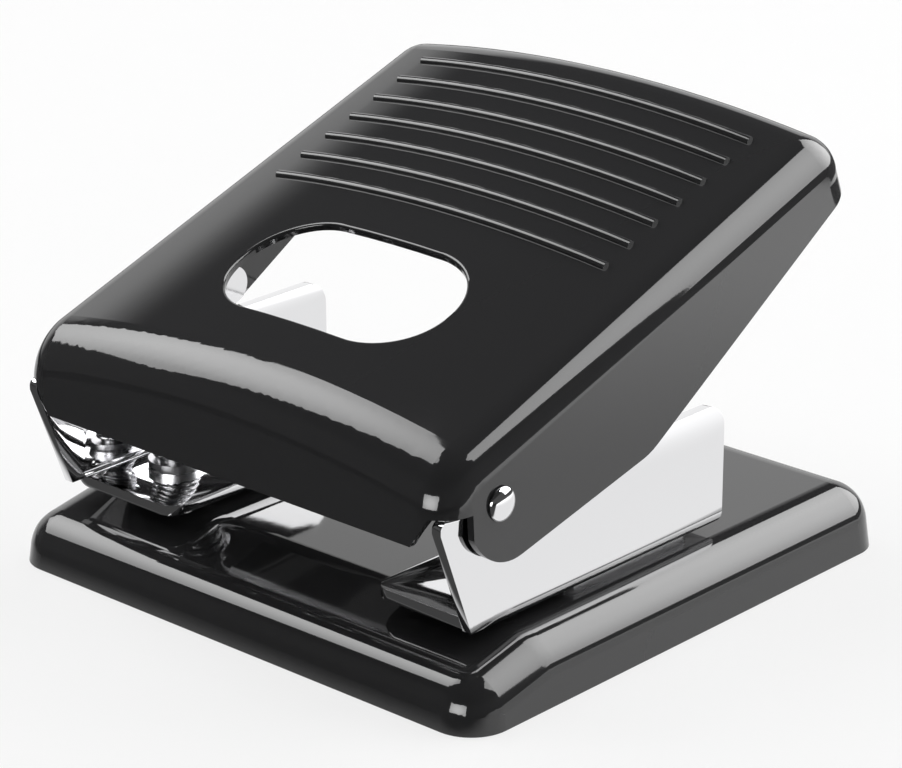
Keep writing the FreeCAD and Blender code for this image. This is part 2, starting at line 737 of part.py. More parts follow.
opening = sketch(handle, "handle_window", "XY_Plane",
                 (None, "window_plane_back", "window_plane_rise"), "incline")
rounded_box(opening, "-window_half", "window_half", "-window_reach", "window_reach",
            "window_corner")
windowed = pocket(handle, "handle_window_cut", opening, "window_cut")


def on_window_rim(edge):
    """True for an edge where the window breaks through the crowned top."""
    spot = middle(edge)
    crown = value("crown_rise") - spot.x ** 2 / (2 * value("crown_radius"))
    inside = abs(spot.x) < value("window_half") + 1
    return inside and near(lean(spot), crown, value("handle_skin") / 3) and ahead_of_ribs(spot)


def ahead_of_ribs(spot):
    return abs(along(spot) - value("window_centre")) < value("window_reach") + 1


fillet(handle, "handle_window_rim", windowed, "window_rim", on_window_rim)
eye = sketch(handle, "handle_eye", "YZ_Plane")
circle(eye, "pivot_back", "pivot_rise", radius="eye_radius")
pocket(handle, "handle_eyes", eye, midplane=True)
bead = sketch(handle, "rib_bead", "YZ_Plane", ("reference_back", "reference_rise", None),
              "incline", spin=True)
circle(bead, "centre_line", "rib_centre", radius="rib_radius")
axle = bead.addGeometry(Part.LineSegment(Vector(-value("axle_half"), value("crown_centre"), 0),
                                         Vector(value("axle_half"), value("crown_centre"), 0)), True)
hold(bead, "Horizontal", axle)
hold(bead, "DistanceY", -1, 1, axle, 1, to="crown_centre")
rib = handle.newObject("PartDesign::Revolution", "handle_rib")
rib.Profile = bead
rib.ReferenceAxis = (bead, ["Axis0"])
bind(rib, "Angle", "rib_sweep")
rib.Midplane = True
doc.recompute()
ribs = handle.newObject("PartDesign::LinearPattern", "handle_ribs")
ribs.Originals = [rib]
ribs.Direction = (bead, ["H_Axis"])
bind(ribs, "Length", "rib_span")
bind(ribs, "Occurrences", "rib_count")
handle.Tip = ribs
doc.recompute()

# press yoke: channel under the handle's front, arms inside the brackets
size("yoke_rear", "=yoke_front + yoke_length")
size("yoke_rear_back", "=reference_back + yoke_rear * cos(incline)")
size("yoke_rear_rise", "=reference_rise + yoke_rear * sin(incline)")
size("yoke_foot", "=-yoke_drop")
size("yoke_end_back", "=punch_back + yoke_end_behind")
size("yoke_end_rise", "=bar_rise + yoke_end_above")
size("yoke_below", "=yoke_foot - 1")
size("yoke_inner_corner", "=yoke_corner - yoke_sheet")
size("stub_radius", "=bar_stub_dia / 2 - press_clear")
size("bar_half", "=bar_dia / 2")
size("bar_end", "=yoke_inner - press_clear")
doc.recompute()
yoke = body("press_yoke")
lean_shift = (None, "yoke_rear_rise", "-yoke_rear_back")
profile = sketch(yoke, "yoke_section", "XZ_Plane", lean_shift, "incline")
crowned(profile, "yoke_outer", "yoke_outer", "yoke_foot", "yoke_arc")
channel = pad(yoke, "yoke_channel", profile, "yoke_length")
rounded = fillet(yoke, "yoke_corners", channel, "yoke_corner",
                 lambda edge: near(abs(middle(edge).x), value("yoke_outer"))
                 and near(edge.BoundBox.XLength, 0) and lean(middle(edge)) > value("sheet_below")
                 and edge.Length > value("yoke_length") - 1)
profile = sketch(yoke, "yoke_inside", "XZ_Plane", lean_shift, "incline")
crowned(profile, "yoke_inner", "yoke_inner", "yoke_below", "yoke_under_arc")
gutter = pocket(yoke, "yoke_hollow", profile, midplane=True)
fillet(yoke, "yoke_inner_corners", gutter, "yoke_inner_corner",
       lambda edge: near(abs(middle(edge).x), value("yoke_inner"))
       and near(edge.BoundBox.XLength, 0) and lean(middle(edge)) > value("sheet_below")
       and edge.Length > value("yoke_length") - 1)
arm = sketch(yoke, "yoke_arm_plan", "YZ_Plane", (None, None, "yoke_inner"))
near_hub = Vector(value("pivot_back"), value("pivot_rise"), 0)
far_hub = Vector(value("yoke_end_back"), value("yoke_end_rise"), 0)
reach = far_hub - near_hub
heading = math.atan2(reach.y, reach.x)
spread = math.acos((value("yoke_boss") - value("yoke_end_radius")) / reach.Length)
ring = Part.Circle(near_hub, Vector(0, 0, 1), value("yoke_boss"))
boss = arm.addGeometry(Part.ArcOfCircle(ring, heading + spread,
                                        heading - spread + 2 * math.pi), False)
ring = Part.Circle(far_hub, Vector(0, 0, 1), value("yoke_end_radius"))
tip = arm.addGeometry(Part.ArcOfCircle(ring, heading - spread, heading + spread), False)
under = arm.addGeometry(Part.LineSegment(arm.Geometry[boss].EndPoint,
                                         arm.Geometry[tip].StartPoint), False)
over = arm.addGeometry(Part.LineSegment(arm.Geometry[tip].EndPoint,
                                        arm.Geometry[boss].StartPoint), False)
hold(arm, "Tangent", boss, 2, under, 1)
hold(arm, "Tangent", under, 2, tip, 1)
hold(arm, "Tangent", tip, 2, over, 1)
hold(arm, "Tangent", over, 2, boss, 1)
pin(arm, boss, 3, "pivot_back", "pivot_rise")
pin(arm, tip, 3, "yoke_end_back", "yoke_end_rise")
hold(arm, "Radius", boss, to="yoke_boss")
hold(arm, "Radius", tip, to="yoke_end_radius")
arm_right = pad(yoke, "yoke_arm", arm, "yoke_sheet")
arms = yoke.newObject("PartDesign::Mirrored", "yoke_arms")
arms.Originals = [arm_right]
arms.MirrorPlane = (plane_of(yoke, "YZ_Plane"), [""])
yoke.Tip = arms
doc.recompute()
drill = sketch(yoke, "yoke_drill", "YZ_Plane")
circle(drill, "pivot_back", "pivot_rise", radius="eye_radius")
circle(drill, "punch_back", "bar_rise", diameter="bar_stub_dia")
pocket(yoke, "yoke_holes", drill, midplane=True)


def turned(name, role, shift, axis, corners):
    """Solid of revolution about one axis of its sketch."""
    made = body(name)
    outline = sketch(made, name + "_outline", role, shift)
    polygon(outline, corners)
    spun = made.newObject("PartDesign::Revolution", name + "_turned")
    spun.Profile = outline
    spun.ReferenceAxis = (outline, [axis])
    spun.Angle = 360
    doc.recompute()
    return made, spun


def ring_at(edge, radius, slack=0.05):
    """True for a full circular edge of the given radius."""
    round_edge = edge.Curve.TypeId == "Part::GeomCircle"
    return round_edge and near(edge.Curve.Radius, radius, slack)


turned("press_bar", "XY_Plane", (None, "punch_back", "bar_rise"), "H_Axis",
       [("-yoke_outer", "centre_line"), ("-yoke_outer", "stub_radius"),
        ("-bar_end", "stub_radius"), ("-bar_end", "bar_half"), ("bar_end", "bar_half"),
        ("bar_end", "stub_radius"), ("yoke_outer", "stub_radius"),
        ("yoke_outer", "centre_line")])

size("head_inner", "=handle_half + pivot_head_dia / 2 * tan(side_draft) + washer_slack")
size("head_outer", "=head_inner + pivot_head_rise")
size("head_radius", "=pivot_head_dia / 2")
size("head_dome", "=pivot_head_rise * 0.9")
size("shank_radius", "=pivot_dia / 2")
size("tail_outer", "=yoke_inner - washer_slack")
size("tail_inner", "=tail_outer - pivot_tail_thick")
size("tail_radius", "=pivot_tail_dia / 2")
size("washer_outer_face", "=washer_inner_face + washer_thick")
size("washer_radius", "=washer_dia / 2")
size("bush_body_radius", "=bush_body_dia / 2 - press_clear")
size("bush_collar_radius", "=bush_collar_dia / 2")
size("cap_radius", "=cap_dia / 2")
size("cap_neck_radius", "=cap_neck_dia / 2")
size("spigot_radius", "=spigot_dia / 2")
size("spigot_bore", "=spigot_radius + press_clear")
size("cap_shoulder_round", "=cap_dia * 0.09")
size("rivet_radius", "=rivet_dia / 2 - press_clear")
size("rivet_head_radius", "=rivet_head_dia / 2")
size("rivet_head_top", "=flange_high + rivet_head_rise")
size("rivet_dome", "=rivet_head_rise * 0.9")
size("rivet_tail_radius", "=rivet_tail_dia / 2")
size("front_tail_low", "=die_low - rivet_tail_thick")
size("rear_tail_low", "=base_ceiling - rivet_tail_thick")
size("spring_radius", "=(spring_dia - spring_wire) / 2")
size("spring_wire_radius", "=spring_wire / 2")
size("spring_start", "=spring_foot + spring_wire_radius")
size("spring_height", "=spring_head - spring_foot - spring_wire")
size("tip_below", "=punch_tip - 2")
size("tip_peak", "=punch_tip + tip_hollow")
size("tip_edge_front", "=punch_back - punch_radius * (1 + 2 / tip_hollow)")
size("tip_edge_rear", "=punch_back + punch_radius * (1 + 2 / tip_hollow)")
doc.recompute()
for side in ("left", "right"):
    pivot_shift = (None, "pivot_back", "pivot_rise")
    rivet, spun = turned("pivot_rivet_" + side, "XY_Plane", pivot_shift, "H_Axis",
                         [(handed(side, "tail_inner"), "centre_line"),
                          (handed(side, "tail_inner"), "tail_radius"),
                          (handed(side, "tail_outer"), "tail_radius"),
                          (handed(side, "tail_outer"), "shank_radius"),
                          (handed(side, "head_inner"), "shank_radius"),
                          (handed(side, "head_inner"), "head_radius"),
                          (handed(side, "head_outer"), "head_radius"),
                          (handed(side, "head_outer"), "centre_line")])
    fillet(rivet, "pivot_dome_" + side, spun, "head_dome",
           lambda edge: ring_at(edge, value("head_radius"))
           and near(abs(middle(edge).x), value("head_outer")))
    turned("pivot_washer_" + side, "XY_Plane", pivot_shift, "H_Axis",
           [(handed(side, "washer_inner_face"), "eye_radius"),
            (handed(side, "washer_inner_face"), "washer_radius"),
            (handed(side, "washer_outer_face"), "washer_radius"),
            (handed(side, "washer_outer_face"), "eye_radius")])
    punch_shift = (handed(side, "punch_side"), None, "-punch_back")
    turned("guide_bush_" + side, "XZ_Plane", punch_shift, "V_Axis",
           [("bore_radius", "flange_low"), ("bush_body_radius", "flange_low"),
            ("bush_body_radius", "flange_high"), ("bush_collar_radius", "flange_high"),
            ("bush_collar_radius", "bush_top"), ("bore_radius", "bush_top")])
    punch, spun = turned("punch_" + side, "XZ_Plane", punch_shift, "V_Axis",
                         [("centre_line", "punch_tip"), ("punch_radius", "punch_tip"),
                          ("punch_radius", "cap_ceiling"), ("spigot_radius", "cap_ceiling"),
                          ("spigot_radius", "punch_top"), ("centre_line", "punch_top")])
    hollow_end = sketch(punch, "punch_hollow_plan_" + side, "YZ_Plane")
    polygon(hollow_end, [("tip_edge_front", "tip_below"), ("tip_edge_rear", "tip_below"),
                         ("punch_back", "tip_peak")])
    pocket(punch, "punch_hollow_" + side, hollow_end, midplane=True)
    cap, spun = turned("punch_cap_" + side, "XZ_Plane", punch_shift, "V_Axis",
                       [("spigot_bore", "cap_ceiling"), ("cap_radius", "cap_ceiling"),
                        ("cap_radius", "cap_shoulder"), ("cap_neck_radius", "cap_shoulder"),
                        ("cap_neck_radius", "cap_top"), ("centre_line", "cap_top"),
                        ("centre_line", "spigot_top"), ("spigot_bore", "spigot_top")])
    fillet(cap, "cap_shoulder_round_" + side, spun, "cap_shoulder_round",
           lambda edge: ring_at(edge, value("cap_radius"))
           and near(middle(edge).z, value("cap_shoulder")))
    coil = body("punch_spring_" + side)
    wire = sketch(coil, "spring_wire_" + side, "XZ_Plane", punch_shift)
    circle(wire, "spring_radius", "spring_start", radius="spring_wire_radius")
    helix = coil.newObject("PartDesign::AdditiveHelix", "spring_coil_" + side)
    helix.Profile = wire
    helix.ReferenceAxis = (wire, ["V_Axis"])
    helix.Mode = 2
    bind(helix, "Height", "spring_height")
    bind(helix, "Turns", "spring_turns")
    doc.recompute()
    for place, back, low, high in (("front", "rivet_front_back", "front_tail_low", "die_low"),
                                   ("rear", "rivet_rear_back", "rear_tail_low", "base_ceiling")):
        shift = (handed(side, "rivet_side"), None, "-" + back)
        stem, spun = turned("flange_rivet_" + side + "_" + place, "XZ_Plane", shift, "V_Axis",
                            [("centre_line", low), ("rivet_tail_radius", low),
                             ("rivet_tail_radius", high), ("rivet_radius", high),
                             ("rivet_radius", "flange_high"), ("rivet_head_radius", "flange_high"),
                             ("rivet_head_radius", "rivet_head_top"),
                             ("centre_line", "rivet_head_top")])
        fillet(stem, "rivet_dome_" + side + "_" + place, spun, "rivet_dome",
               lambda edge: ring_at(edge, value("rivet_head_radius"))
               and near(middle(edge).z, value("rivet_head_top")))

# every object has to be sound before anything is written
doc.recompute()
for item in doc.Objects:
    if "Invalid" in item.State or "Error" in item.State:
        raise RuntimeError("failed: " + item.Name)
solids = [item for item in doc.Objects if item.TypeId == "PartDesign::Body" and item != core]
for item in solids:
    if item.Shape.isNull() or not item.Shape.isValid() or len(item.Shape.Solids) != 1:
        raise RuntimeError("unsound: " + item.Label)
os.makedirs("parts", exist_ok=True)
for item in solids:
    item.Shape.exportStep("parts/" + item.Label + ".step")
print("wrote", len(solids), "parts")
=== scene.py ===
import math

import bmesh
import bpy
import numpy as np
from bpy.props import FloatProperty, FloatVectorProperty, IntProperty, PointerProperty
from bpy.types import Operator, Panel, PropertyGroup
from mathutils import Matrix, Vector


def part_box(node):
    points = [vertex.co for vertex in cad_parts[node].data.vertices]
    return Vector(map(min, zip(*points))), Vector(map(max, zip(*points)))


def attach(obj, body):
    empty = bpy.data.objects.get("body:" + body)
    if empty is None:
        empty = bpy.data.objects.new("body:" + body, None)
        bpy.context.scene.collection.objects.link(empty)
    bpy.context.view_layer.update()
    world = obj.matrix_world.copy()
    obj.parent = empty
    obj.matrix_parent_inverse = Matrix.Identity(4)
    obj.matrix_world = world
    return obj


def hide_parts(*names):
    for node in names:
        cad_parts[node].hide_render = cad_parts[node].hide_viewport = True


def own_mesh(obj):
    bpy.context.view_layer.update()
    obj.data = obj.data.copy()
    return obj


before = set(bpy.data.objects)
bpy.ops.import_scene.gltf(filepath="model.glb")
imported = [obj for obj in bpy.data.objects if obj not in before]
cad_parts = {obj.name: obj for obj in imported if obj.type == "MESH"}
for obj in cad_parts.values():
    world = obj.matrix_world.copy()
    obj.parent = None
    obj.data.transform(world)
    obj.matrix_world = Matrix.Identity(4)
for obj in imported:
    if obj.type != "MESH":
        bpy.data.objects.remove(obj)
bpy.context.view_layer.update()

# Looks of a two-hole lever punch: gloss black enamel on the cover and the base, bright
# plated brackets and yoke, steel punches with their springs, and a black plastic tray.

bl_info = {
    "name": "Hole Punch Looks",
    "version": (1, 0, 0),
    "blender": (4, 5, 0),
    "location": "View3D > Sidebar > Hole Punch",
    "description": "Dresses the packed hole punch with its finishes, rivets, springs and studio",
    "category": "Object",
}

SIDES = ("left", "right")
ENAMELLED = ("base_shell", "handle_shell")
PLATED = ("punch_cap_{}", "flange_rivet_{}_front", "flange_rivet_{}_rear")
MACHINED = ("spacer", "die_plate", "guide_bush", "punch")


class PunchFinish(PropertyGroup):
    """Colours of the finishes."""

    enamel: FloatVectorProperty(
        name="Enamel", description="Colour of the enamelled steel", subtype="COLOR",
        size=3, min=0, max=1, default=(0.028, 0.028, 0.029))
    plate: FloatVectorProperty(
        name="Plate", description="Colour of the bright plated steel", subtype="COLOR",
        size=3, min=0, max=1, default=(0.78, 0.78, 0.79))
    steel: FloatVectorProperty(
        name="Steel", description="Colour of the machined steel", subtype="COLOR",
        size=3, min=0, max=1, default=(0.58, 0.58, 0.59))
    wire: FloatVectorProperty(
        name="Wire", description="Colour of the drawn spring wire", subtype="COLOR",
        size=3, min=0, max=1, default=(0.5, 0.5, 0.51))
    plastic: FloatVectorProperty(
        name="Plastic", description="Colour of the moulded tray and washers", subtype="COLOR",
        size=3, min=0, max=1, default=(0.035, 0.035, 0.037))
    tumbled: FloatProperty(
        name="Tumbled edge", description="Rounding of the brackets' sheet edges",
        unit="LENGTH", min=0, default=0.0006)
    floor: FloatVectorProperty(
        name="Floor", description="Colour of the studio floor", subtype="COLOR",
        size=3, min=0, max=1, default=(0.9, 0.9, 0.9))


class PunchRivets(PropertyGroup):
    """Sizes of the two pivot rivets."""

    length: FloatProperty(
        name="Length", description="From the tail's face to the top of the head",
        unit="LENGTH", min=0, default=0.0087)
    shank: FloatProperty(
        name="Shank", description="Radius of the shank", unit="LENGTH", min=0, default=0.0025)
    head: FloatProperty(
        name="Head", description="Radius of the head", unit="LENGTH", min=0, default=0.0031)
    dome: FloatProperty(
        name="Dome", description="Height of the domed head", unit="LENGTH", min=0,
        default=0.0012)
    tail: FloatProperty(
        name="Tail", description="Thickness of the spread tail", unit="LENGTH", min=0,
        default=0.0013)


class PunchSprings(PropertyGroup):
    """Sizes of the two return springs."""

    wire: FloatProperty(
        name="Wire", description="Diameter of the spring wire", unit="LENGTH",
        min=0.0002, default=0.001)
    turns: FloatProperty(
        name="Turns", description="Turns of the open coil", min=1, default=6.5)
    closed: FloatProperty(
        name="Closed turns", description="Flat turns at each end", min=0, max=2, default=0.75)
    around: IntProperty(
        name="Points round the wire", description="Points round the wire's section",
        min=6, default=16)
    along: IntProperty(
        name="Points per turn", description="Points along one turn of the coil",
        min=12, default=48)


class PunchStudio(PropertyGroup):
    """Camera, lamps and floor."""

    azimuth: FloatProperty(
        name="Azimuth", description="Camera's heading from the front, towards the right",
        subtype="ANGLE", default=math.radians(42.25))
    elevation: FloatProperty(
        name="Elevation", description="Camera's height above the level", subtype="ANGLE",
        default=math.radians(20.76))
    distance: FloatProperty(
        name="Distance", description="Camera's distance from its target", unit="LENGTH",
        default=0.6497)
    target: FloatVectorProperty(
        name="Target", description="Point that the camera looks at", subtype="TRANSLATION",
        size=3, default=(0.0, -0.0006, 0.0335))
    lens: FloatProperty(
        name="Lens", description="Focal length in millimetres on a 36 mm sensor", min=1,
        default=140.54)
    floor_radius: FloatProperty(
        name="Floor radius", description="Radius of the round floor", unit="LENGTH",
        default=6.0)
    ceiling: FloatProperty(
        name="Ceiling", description="Brightness of the studio overhead", min=0, default=0.03)


# ---------------------------------------------------------------- materials

def relief_group():
    """Shader group for small relief: fine noise as a height and slow noise as a tone."""
    name = "punch_fine_relief"
    if name in bpy.data.node_groups:
        return bpy.data.node_groups[name]
    group = bpy.data.node_groups.new(name, "ShaderNodeTree")
    face = group.interface
    face.new_socket("Place", in_out="INPUT", socket_type="NodeSocketVector")
    face.new_socket("Stretch", in_out="INPUT", socket_type="NodeSocketVector")
    for label in ("Grain", "Cloud", "Low", "High"):
        face.new_socket(label, in_out="INPUT", socket_type="NodeSocketFloat")
    face.new_socket("Height", in_out="OUTPUT", socket_type="NodeSocketFloat")
    face.new_socket("Tone", in_out="OUTPUT", socket_type="NodeSocketFloat")
    nodes, links = group.nodes, group.links
    given = nodes.new("NodeGroupInput")
    out = nodes.new("NodeGroupOutput")
    scaled = nodes.new("ShaderNodeVectorMath")
    scaled.operation = "MULTIPLY"
    links.new(given.outputs["Place"], scaled.inputs[0])
    links.new(given.outputs["Stretch"], scaled.inputs[1])
    fine = nodes.new("ShaderNodeTexNoise")
    fine.inputs["Detail"].default_value = 3
    links.new(scaled.outputs[0], fine.inputs["Vector"])
    links.new(given.outputs["Grain"], fine.inputs["Scale"])
    slow = nodes.new("ShaderNodeTexNoise")
    slow.inputs["Detail"].default_value = 4
    links.new(scaled.outputs[0], slow.inputs["Vector"])
    links.new(given.outputs["Cloud"], slow.inputs["Scale"])
    spread = nodes.new("ShaderNodeMapRange")
    spread.inputs["From Min"].default_value = 0.3
    spread.inputs["From Max"].default_value = 0.7
    links.new(slow.outputs["Fac"], spread.inputs["Value"])
    links.new(given.outputs["Low"], spread.inputs["To Min"])
    links.new(given.outputs["High"], spread.inputs["To Max"])
    links.new(fine.outputs["Fac"], out.inputs["Height"])
    links.new(spread.outputs["Result"], out.inputs["Tone"])
    return group


def finish_of(name, colour, metallic, roughness, relief, stretch=(1, 1, 1), grain=800.0,
              cloud=40.0, index=1.5):
    """Principled material whose roughness wanders between two values over fine relief."""
    if name in bpy.data.materials:
        return bpy.data.materials[name]
    made = bpy.data.materials.new(name)
    made.use_nodes = True
    nodes, links = made.node_tree.nodes, made.node_tree.links
    skin = nodes["Principled BSDF"]
    skin.inputs["Base Color"].default_value = (*colour, 1)
    skin.inputs["Metallic"].default_value = metallic
    skin.inputs["IOR"].default_value = index
    place = nodes.new("ShaderNodeTexCoord")
    wander = nodes.new("ShaderNodeGroup")
    wander.node_tree = relief_group()
    wander.inputs["Stretch"].default_value = stretch
    wander.inputs["Grain"].default_value = grain
    wander.inputs["Cloud"].default_value = cloud
    wander.inputs["Low"].default_value = roughness[0]
    wander.inputs["High"].default_value = roughness[1]
    bump = nodes.new("ShaderNodeBump")
    bump.inputs["Strength"].default_value = 1
    bump.inputs["Distance"].default_value = relief
    links.new(place.outputs["Object"], wander.inputs["Place"])
    links.new(wander.outputs["Tone"], skin.inputs["Roughness"])
    links.new(wander.outputs["Height"], bump.inputs["Height"])
    links.new(bump.outputs["Normal"], skin.inputs["Normal"])
    return made


def dress(names, material):
    """Gives each named node the one material."""
    for name in names:
        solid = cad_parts[name]
        solid.data.materials.clear()
        solid.data.materials.append(material)


def finishes():
    """The colours set in the sidebar."""
    return bpy.context.scene.punch_finish


def bright_plate():
    return finish_of("polished_plate", finishes().plate, 1, (0.03, 0.07), 1.5e-7,
                     stretch=(1, 0.08, 1), grain=2500, cloud=60)


def machined_steel():
    return finish_of("machined_steel", finishes().steel, 1, (0.22, 0.34), 1e-6,
                     stretch=(0.3, 0.3, 6), grain=900, cloud=90)


def moulded_plastic():
    return finish_of("moulded_plastic", finishes().plastic, 0, (0.45, 0.5), 1.5e-5,
                     grain=2200, cloud=50)


def spring_wire():
    return finish_of("drawn_wire", finishes().wire, 1, (0.16, 0.28), 5e-7, grain=3000, cloud=200)


class PUNCH_OT_enamel(Operator):
    """Gloss black enamel on the cover and the base"""
    bl_idname = "punch.enamel"
    bl_label = "Enamel"

    def execute(self, context):
        gloss = finish_of("stoved_enamel", finishes().enamel, 0, (0.03, 0.06), 2.5e-6,
                          grain=500, cloud=25, index=1.6)
        dress(ENAMELLED, gloss)
        return {"FINISHED"}


class PUNCH_OT_plate(Operator):
    """Bright plate on the yoke, the caps and the flange rivets"""
    bl_idname = "punch.plate"
    bl_label = "Bright plate"

    def execute(self, context):
        names = ["press_yoke"]
        for side in SIDES:
            names += [part.format(side) for part in PLATED]
        dress(names, bright_plate())
        return {"FINISHED"}


class PUNCH_OT_steel(Operator):
    """Machined steel on the punches, dies, bushes, spacers and bar"""
    bl_idname = "punch.steel"
    bl_label = "Machined steel"

    def execute(self, context):
        names = ["press_bar"]
        for side in SIDES:
            names += [part + "_" + side for part in MACHINED]
        dress(names, machined_steel())
        return {"FINISHED"}


class PUNCH_OT_plastic(Operator):
    """Moulded plastic on the chip tray and the washers"""
    bl_idname = "punch.plastic"
    bl_label = "Moulded plastic"

    def execute(self, context):
        dress(["chip_tray"] + ["pivot_washer_" + side for side in SIDES], moulded_plastic())
        return {"FINISHED"}


# ---------------------------------------------------------------- bracket edges

SAME_POINT = 1e-6
FLAT_WITHIN = math.radians(0.5)
SHEET_EDGE = math.radians(40)


def one_skin(name, node):
    """Copy of a node with its loose triangles joined into flat and curved faces."""
    work = bmesh.new()
    work.from_mesh(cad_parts[node].data)
    bmesh.ops.remove_doubles(work, verts=work.verts, dist=SAME_POINT)
    bmesh.ops.dissolve_limit(work, angle_limit=FLAT_WITHIN, verts=work.verts, edges=work.edges)
    mesh = bpy.data.meshes.new(name)
    work.to_mesh(mesh)
    work.free()
    made = bpy.data.objects.new(name, mesh)
    bpy.context.scene.collection.objects.link(made)
    return made


class PUNCH_OT_bracket_edges(Operator):
    """Tumbled edges on the sheet of the two brackets"""
    bl_idname = "punch.bracket_edges"
    bl_label = "Bracket edges"

    def execute(self, context):
        for side in SIDES:
            node = "bracket_" + side
            sheet = one_skin("tumbled_bracket_" + side, node)
            edge = sheet.modifiers.new("tumbled edge", "BEVEL")
            edge.width = finishes().tumbled
            edge.segments = 3
            edge.limit_method = "ANGLE"
            edge.angle_limit = SHEET_EDGE
            edge.harden_normals = True
            sheet.data.shade_smooth()
            stands_for(sheet, node, bright_plate(), "base")
        return {"FINISHED"}


# ---------------------------------------------------------------- turned and wound pieces

SHARP_FROM = math.radians(50)
RIVET_AROUND = 64    # points round a rivet
DOME_STEPS = 20      # points from the head's rim to its crown
DOME_SWEEP = 0.97    # share of the quarter ellipse before the crown's fan of triangles
TAIL_BREAK = 0.97    # radius of the tail's face, where its edge is broken
TAIL_BEVEL = 0.06    # share of the tail's thickness that the broken edge takes
CLIMB_EASE = -0.03   # sway of a spring's climb that softens its start and end
WIRE_TIP = 0.4       # radius of the wire's ground end


def closed_tube(name, rings, first, last):
    """Smooth closed mesh at the origin: quads between neighbouring rings of points, wound to
    face outward, and a fan of triangles from the first and the last ring to a point each."""
    steps, around = rings.shape[:2]
    points = np.concatenate([rings.reshape(-1, 3), [first, last]])
    row = np.arange(steps - 1)[:, None] * around
    here = np.arange(around)[None, :]
    after = (here + 1) % around
    quads = np.stack([row + here, row + after, row + around + after, row + around + here],
                     axis=-1).reshape(-1, 4)
    here, after, end = here[0], after[0], (steps - 1) * around
    opening = np.stack([after, here, np.full(around, len(points) - 2)], axis=1)
    closing = np.stack([end + here, end + after, np.full(around, len(points) - 1)], axis=1)
    mesh = bpy.data.meshes.new(name)
    mesh.from_pydata(points.tolist(), [],
                     quads.tolist() + opening.tolist() + closing.tolist())
    mesh.shade_smooth()
    mesh.set_sharp_from_angle(angle=SHARP_FROM)
    made = bpy.data.objects.new(name, mesh)
    bpy.context.scene.collection.objects.link(made)
    return made


def stands_for(piece, node, look, body):
    """Finish, CAD node and body of a piece: the piece takes the finish, the node is hidden and
    the piece rides the body.
    """
    piece.data.materials.append(look)
    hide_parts(node)
    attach(piece, body)


def rivet_rings(inner, tail_radius, sizes):
    """Rivet along X: each point (x, r) of its outline goes round as y = r cos a and
    z = r sin a. The outline is the tail's disc, the shank, and a head whose face is a quarter
    of an ellipse, x = foot + dome sin u and r = head cos u."""
    foot = inner + sizes.length - sizes.dome
    spread = inner + sizes.tail
    bend = np.linspace(0, DOME_SWEEP * np.pi / 2, DOME_STEPS)
    outline = np.concatenate([
        [[inner, tail_radius * TAIL_BREAK], [inner + sizes.tail * TAIL_BEVEL, tail_radius],
         [spread, tail_radius], [spread, sizes.shank], [foot, sizes.shank], [foot, sizes.head]],
        np.stack([foot + sizes.dome * np.sin(bend), sizes.head * np.cos(bend)], axis=1)])
    turn = np.linspace(0, 2 * np.pi, RIVET_AROUND, endpoint=False)
    across, radius = outline[:, :1], outline[:, 1:]
    return np.stack([across + 0 * turn, radius * np.cos(turn), radius * np.sin(turn)], axis=-1)


class PUNCH_OT_pivot_rivets(Operator):
    """Domed pivot rivets in the lobes of the handle"""
    bl_idname = "punch.pivot_rivets"
    bl_label = "Pivot rivets"

    def execute(self, context):
        sizes = context.scene.punch_rivets
        for side, hand in (("left", -1), ("right", 1)):
            node = "pivot_rivet_" + side
            low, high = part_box(node)
            inner = min(abs(low.x), abs(high.x))
            middle = (low + high) / 2
            rings = rivet_rings(inner, (high.z - low.z) / 2, sizes) + [0, middle.y, middle.z]
            rings = rings[:, ::hand] * [hand, 1, 1]
            first = [hand * inner, middle.y, middle.z]
            last = [hand * (inner + sizes.length), middle.y, middle.z]
            rivet = closed_tube("domed_rivet_" + side, rings, first, last)
            stands_for(rivet, node, bright_plate(), "base")
        return {"FINISHED"}


def coil_rings(foot, height, radius, wire, turns, closed, around, along):
    """Spring wire: the centre line is x = R cos a, y = R sin a, z = foot + w/2 + c (H - w).
    The climb c runs from 0 to 1 between flat end turns, plus a small sine. At each step a
    circle of the wire's radius is set across the line, along its outward and upward normals."""
    steps = int(turns * along)
    share = np.linspace(0, 1, steps)
    angle = share * turns * 2 * np.pi
    climb = np.clip((share * turns - closed / 2) / (turns - closed), 0, 1)
    climb = climb + np.sin(2 * np.pi * climb) * CLIMB_EASE
    centre = np.stack([radius * np.cos(angle), radius * np.sin(angle),
                       foot + wire / 2 + climb * (height - wire)], axis=1)
    ahead = np.gradient(centre, axis=0)
    ahead /= np.linalg.norm(ahead, axis=1, keepdims=True)
    outward = np.stack([np.cos(angle), np.sin(angle), np.zeros(steps)], axis=1)
    upward = np.cross(outward, ahead)
    upward /= np.linalg.norm(upward, axis=1, keepdims=True)
    turn = np.linspace(0, 2 * np.pi, around, endpoint=False)
    thick = np.full(steps, wire / 2)
    thick[[0, -1]] *= WIRE_TIP
    ring = (np.cos(turn)[None, :, None] * outward[:, None, :]
            + np.sin(turn)[None, :, None] * upward[:, None, :])
    return centre[:, None, :] + ring[:, ::-1] * thick[:, None, None], centre


class PUNCH_OT_springs(Operator):
    """Return springs wound between the guide bush and the cap of each punch"""
    bl_idname = "punch.springs"
    bl_label = "Springs"

    def execute(self, context):
        sizes = context.scene.punch_springs
        for side in SIDES:
            node = "punch_spring_" + side
            low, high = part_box(node)
            middle = (low + high) / 2
            rings, centre = coil_rings(
                low.z, high.z - low.z, (high.x - low.x - sizes.wire) / 2, sizes.wire,
                sizes.turns, sizes.closed, sizes.around, sizes.along)
            place = np.array([middle.x, middle.y, 0])
            spring = closed_tube("return_spring_" + side, rings + place,
                                 centre[0] + place, centre[-1] + place)
            stands_for(spring, node, spring_wire(), "base")
            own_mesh(spring)
        return {"FINISHED"}


# ---------------------------------------------------------------- studio

